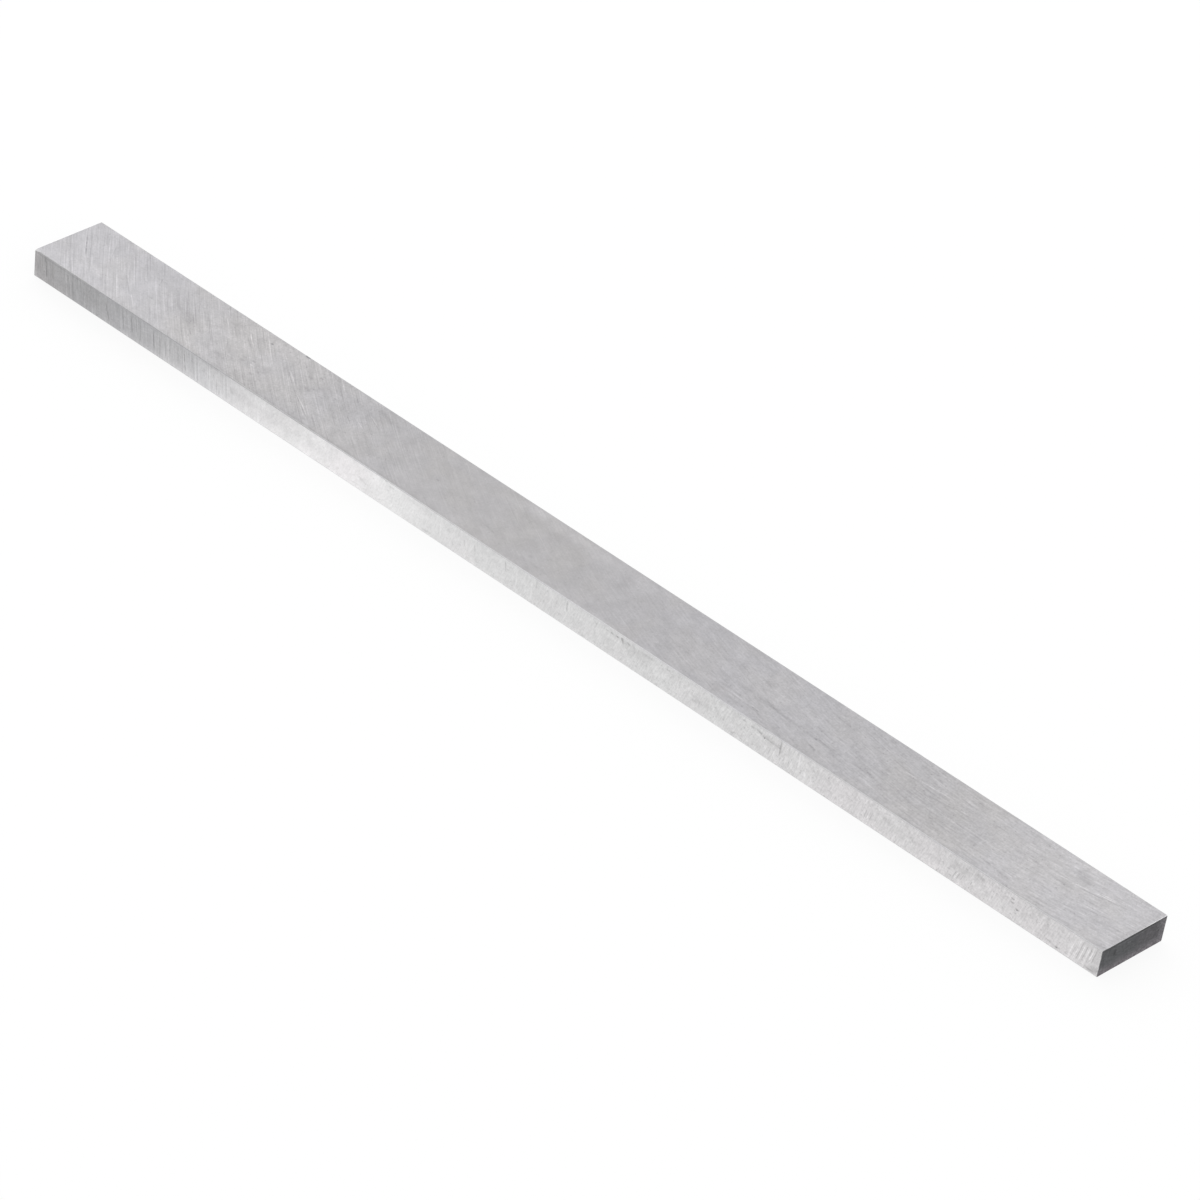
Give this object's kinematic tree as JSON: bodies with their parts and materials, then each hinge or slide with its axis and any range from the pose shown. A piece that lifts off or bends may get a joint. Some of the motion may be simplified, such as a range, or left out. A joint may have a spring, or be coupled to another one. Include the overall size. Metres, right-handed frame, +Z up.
{
  "type": "tool bit blank",
  "caption": "Flat bar of ground high-speed steel with raked cut ends, clamped in a holder and ground to a cutting edge.",
  "frame": {"origin": "middle of the underside, the wide face that the bar lies on", "axes": "+X along the bar, +Y across the wide faces to the back side, +Z up out of the top face"},
  "size_m": [0.202, 0.012, 0.005],
  "materials": {
    "ground_steel": "surface ground: fine curved grinding lines on the wide faces, lines across the narrow sides, darker cut ends"
  },
  "bodies": {
    "root": {"tool_bit_blank": "ground_steel"}
  },
  "joints": []
}
